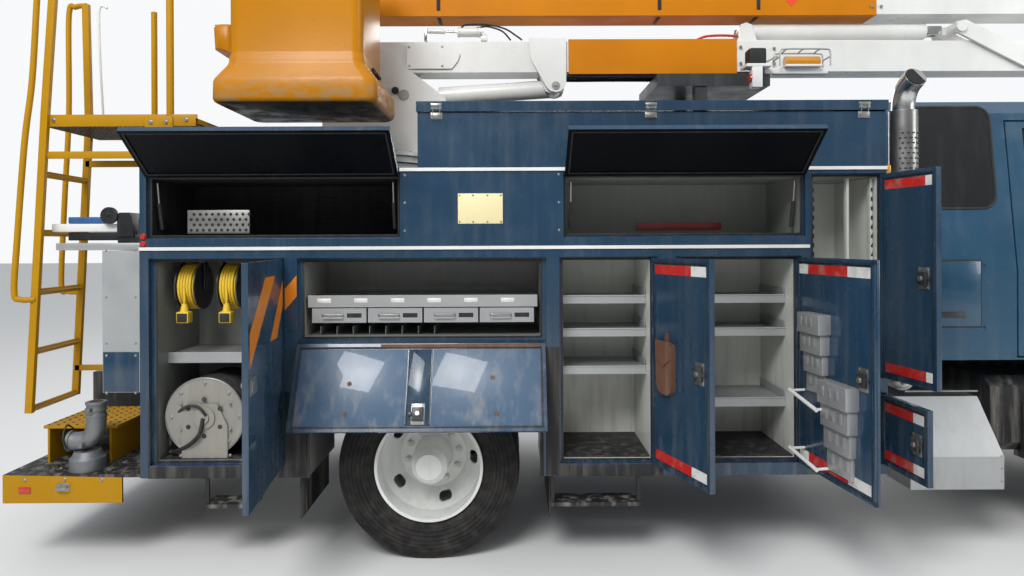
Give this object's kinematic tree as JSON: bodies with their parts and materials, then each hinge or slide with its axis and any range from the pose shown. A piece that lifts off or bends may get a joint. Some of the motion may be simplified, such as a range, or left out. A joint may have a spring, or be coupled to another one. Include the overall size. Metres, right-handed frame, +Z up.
{
  "type": "cherry picker truck",
  "caption": "Utility truck with an extended cab, open tool lockers and a folded two-part boom that carries a work bucket.",
  "frame": {"origin": "on the ground under the middle of the whole truck's box, doors as they stand", "axes": "+X towards the front, +Y to the truck's left, +Z up"},
  "size_m": [8.2659, 3.4007, 3.6019],
  "materials": {
    "chassis_black": "satin",
    "cab_blue": "gloss",
    "body_blue": "gloss",
    "boom_white": "gloss",
    "fibre_orange": "gloss",
    "bucket_orange": "gloss",
    "ladder_yellow": "satin",
    "galvanised": "matte",
    "bare_aluminium": "satin",
    "cast": "rough",
    "tyre": "matte",
    "rim_white": "gloss",
    "window": "polished",
    "trim": "matte",
    "steel": "polished",
    "polished": "polished",
    "axle_cast": "rough"
  },
  "bodies": {
    "truck": {"chassis_frame": "chassis_black", "engine_block": "axle_cast", "axles": "axle_cast", "cab_shell": "cab_blue", "cab_glass": "window", "cab_interior": "trim", "front_bumper": "chassis_black", "tank_steps": "chassis_black", "aluminium_box": "bare_aluminium", "exhaust_stack": "polished", "right_pack": "body_blue", "left_pack": "body_blue", "bed": "chassis_black", "shelving": "galvanised", "top_box": "body_blue", "reels": "galvanised", "tail_frame": "chassis_black", "rear_fittings": "cast", "ladder": "ladder_yellow", "underbody_steps": "chassis_black", "pedestal": "boom_white", "boom_rest": "body_blue"},
    "knuckle_right": {"knuckle_right": "axle_cast"},
    "knuckle_left": {"knuckle_left": "axle_cast"},
    "wheel_front_right": {"front_right_tyre": "tyre", "front_right_rim": "rim_white"},
    "wheel_front_left": {"front_left_tyre": "tyre", "front_left_rim": "rim_white"},
    "wheels_rear_right": {"rear_right_tyres": "tyre", "rear_right_rims": "rim_white"},
    "wheels_rear_left": {"rear_left_tyres": "tyre", "rear_left_rims": "rim_white"},
    "hood": {"hood": "cab_blue"},
    "cab_door_right": {"cab_door_right": "cab_blue", "door_glass_right": "window"},
    "cab_door_left": {"cab_door_left": "cab_blue", "door_glass_left": "window"},
    "top_box_lid": {"top_box_lid": "body_blue"},
    "door_reel_bay": {"door_reel_bay": "body_blue"},
    "door_drawer_bay": {"door_drawer_bay": "body_blue"},
    "door_middle_bay": {"door_middle_bay": "body_blue"},
    "door_work_bay": {"door_work_bay": "body_blue"},
    "door_tall_bay": {"door_tall_bay": "body_blue"},
    "door_low_bay": {"door_low_bay": "body_blue"},
    "flip_door_rear": {"flip_door_rear": "body_blue"},
    "flip_door_front": {"flip_door_front": "body_blue"},
    "left_door_rear": {"left_door_rear": "body_blue"},
    "left_door_front": {"left_door_front": "body_blue"},
    "turret": {"turret": "boom_white"},
    "lower_boom": {"lower_boom": "boom_white", "lower_insert": "fibre_orange"},
    "lift_barrel": {"lift_barrel": "boom_white"},
    "lift_rod": {"lift_rod": "steel"},
    "elbow": {"elbow": "boom_white"},
    "upper_boom": {"upper_boom": "fibre_orange"},
    "upper_barrel": {"upper_barrel": "boom_white"},
    "upper_rod": {"upper_rod": "steel"},
    "idler_link": {"idler_link": "boom_white"},
    "bucket": {"bucket_mount": "boom_white", "bucket": "bucket_orange"}
  },
  "joints": [
    {"name": "steer_right", "type": "hinge", "parent": "truck", "child": "knuckle_right", "pos_m": [3.42, -0.62, 0.5], "axis": [0, 0, 1], "range_deg": [-35, 35]},
    {"name": "steer_left", "type": "hinge", "parent": "truck", "child": "knuckle_left", "pos_m": [3.42, 1.14, 0.5], "axis": [0, 0, 1], "range_deg": [-35, 35]},
    {"name": "spin_front_right", "type": "hinge", "parent": "knuckle_right", "child": "wheel_front_right", "pos_m": [3.42, -0.78, 0.5], "axis": [0, 1, 0], "continuous": true},
    {"name": "spin_front_left", "type": "hinge", "parent": "knuckle_left", "child": "wheel_front_left", "pos_m": [3.42, 1.3, 0.5], "axis": [0, 1, 0], "continuous": true},
    {"name": "spin_rear_right", "type": "hinge", "parent": "truck", "child": "wheels_rear_right", "pos_m": [-1.66, -0.8, 0.5], "axis": [0, 1, 0], "continuous": true},
    {"name": "spin_rear_left", "type": "hinge", "parent": "truck", "child": "wheels_rear_left", "pos_m": [-1.66, 1.32, 0.5], "axis": [0, 1, 0], "continuous": true},
    {"name": "hood_tilt", "type": "hinge", "parent": "truck", "child": "hood", "pos_m": [4.03, 0.26, 0.785], "axis": [0, 1, 0], "range_deg": [0, 60]},
    {"name": "cab_door_right_swing", "type": "hinge", "parent": "truck", "child": "cab_door_right", "pos_m": [2.733, -0.818, 1.5], "axis": [0, 0, 1], "range_deg": [0, 65]},
    {"name": "cab_door_left_swing", "type": "hinge", "parent": "truck", "child": "cab_door_left", "pos_m": [2.733, 1.338, 1.5], "axis": [0, 0, -1], "range_deg": [0, 65]},
    {"name": "top_box_lid_lift", "type": "hinge", "parent": "truck", "child": "top_box_lid", "pos_m": [-0.46, -0.431, 2.496], "axis": [-1, 0, 0], "range_deg": [0, 85]},
    {"name": "reel_bay_door", "type": "hinge", "parent": "truck", "child": "door_reel_bay", "pos_m": [-2.431, -0.985, 1.1], "axis": [0, 0, -1], "range_deg": [0, 96.4]},
    {"name": "drawer_bay_door", "type": "hinge", "parent": "truck", "child": "door_drawer_bay", "pos_m": [-1.66, -0.985, 1.185], "axis": [-1, 0, 0], "range_deg": [0, 155.4]},
    {"name": "middle_bay_door", "type": "hinge", "parent": "truck", "child": "door_middle_bay", "pos_m": [-0.421, -0.985, 1.1], "axis": [0, 0, -1], "range_deg": [0, 110]},
    {"name": "work_bay_door", "type": "hinge", "parent": "truck", "child": "door_work_bay", "pos_m": [0.361, -0.985, 1.1], "axis": [0, 0, -1], "range_deg": [0, 97]},
    {"name": "tall_bay_door", "type": "hinge", "parent": "truck", "child": "door_tall_bay", "pos_m": [0.819, -0.985, 1.5], "axis": [0, 0, -1], "range_deg": [0, 100]},
    {"name": "low_bay_door", "type": "hinge", "parent": "truck", "child": "door_low_bay", "pos_m": [0.819, -0.985, 0.72], "axis": [0, 0, -1], "range_deg": [0, 93]},
    {"name": "upper_rear_door", "type": "hinge", "parent": "truck", "child": "flip_door_rear", "pos_m": [-2.46, -0.985, 2.112], "axis": [1, 0, 0], "range_deg": [0, 127]},
    {"name": "upper_front_door", "type": "hinge", "parent": "truck", "child": "flip_door_front", "pos_m": [-0.26, -0.985, 2.112], "axis": [1, 0, 0], "range_deg": [0, 127]},
    {"name": "left_rear_door", "type": "hinge", "parent": "truck", "child": "left_door_rear", "pos_m": [-2.431, 1.505, 1.1], "axis": [0, 0, -1], "range_deg": [0, 95]},
    {"name": "left_front_door", "type": "hinge", "parent": "truck", "child": "left_door_front", "pos_m": [0.361, 1.505, 1.1], "axis": [0, 0, -1], "range_deg": [0, 95]},
    {"name": "slew", "type": "hinge", "parent": "truck", "child": "turret", "pos_m": [-2.172, 0.26, 2.276], "axis": [0, 0, 1], "continuous": true},
    {"name": "lower_boom_lift", "type": "hinge", "parent": "turret", "child": "lower_boom", "pos_m": [-2.241, 0.26, 3.034], "axis": [0, -1, 0], "range_deg": [0, 80]},
    {"name": "lift_barrel_pivot", "type": "hinge", "parent": "lower_boom", "child": "lift_barrel", "pos_m": [-0.895, 0.26, 2.834], "axis": [0, -1, 0], "range_deg": [0, 1.3]},
    {"name": "lift_rod_slide", "type": "slide", "parent": "lift_barrel", "child": "lift_rod", "axis": [-0.998, 0, -0.0635], "range_m": [0, 0.51]},
    {"name": "elbow_levelling", "type": "hinge", "parent": "lower_boom", "child": "elbow", "pos_m": [3.853, 0.26, 3.236], "axis": [0, 1, 0], "range_deg": [0, 80]},
    {"name": "upper_boom_unfold", "type": "hinge", "parent": "elbow", "child": "upper_boom", "pos_m": [3.853, 0.26, 3.236], "axis": [0, 1, 0], "range_deg": [0, 160]},
    {"name": "bucket_levelling", "type": "hinge", "parent": "upper_boom", "child": "bucket", "pos_m": [-2.428, 0.13, 3.4], "axis": [0, -1, 0], "range_deg": [0, 160]},
    {"name": "upper_barrel_pivot", "type": "hinge", "parent": "lower_boom", "child": "upper_barrel", "pos_m": [0.465, 0.26, 3.238], "axis": [0, -1, 0], "range_deg": [0, 3.5]},
    {"name": "upper_rod_slide", "type": "slide", "parent": "upper_barrel", "child": "upper_rod", "axis": [1, 0, -0.002], "range_m": [0, 0.9]},
    {"name": "idler_swing", "type": "hinge", "parent": "lower_boom", "child": "idler_link", "pos_m": [2.446, 0.26, 2.998], "axis": [0, 1, 0], "range_deg": [0, 110]}
  ],
  "couplings": [
    {"joint": "steer_left", "follows": "steer_right", "ratio": 1},
    {"joint": "lift_barrel_pivot", "follows": "lower_boom_lift", "ratio": 0.01625},
    {"joint": "lift_rod_slide", "follows": "lower_boom_lift", "m_per_rad": 0.36454},
    {"joint": "elbow_levelling", "follows": "lower_boom_lift", "ratio": 1},
    {"joint": "bucket_levelling", "follows": "upper_boom_unfold", "ratio": 1},
    {"joint": "upper_barrel_pivot", "follows": "upper_boom_unfold", "ratio": 0.021875},
    {"joint": "upper_rod_slide", "follows": "upper_boom_unfold", "m_per_rad": 0.31835},
    {"joint": "idler_swing", "follows": "upper_boom_unfold", "ratio": 0.6875}
  ]
}
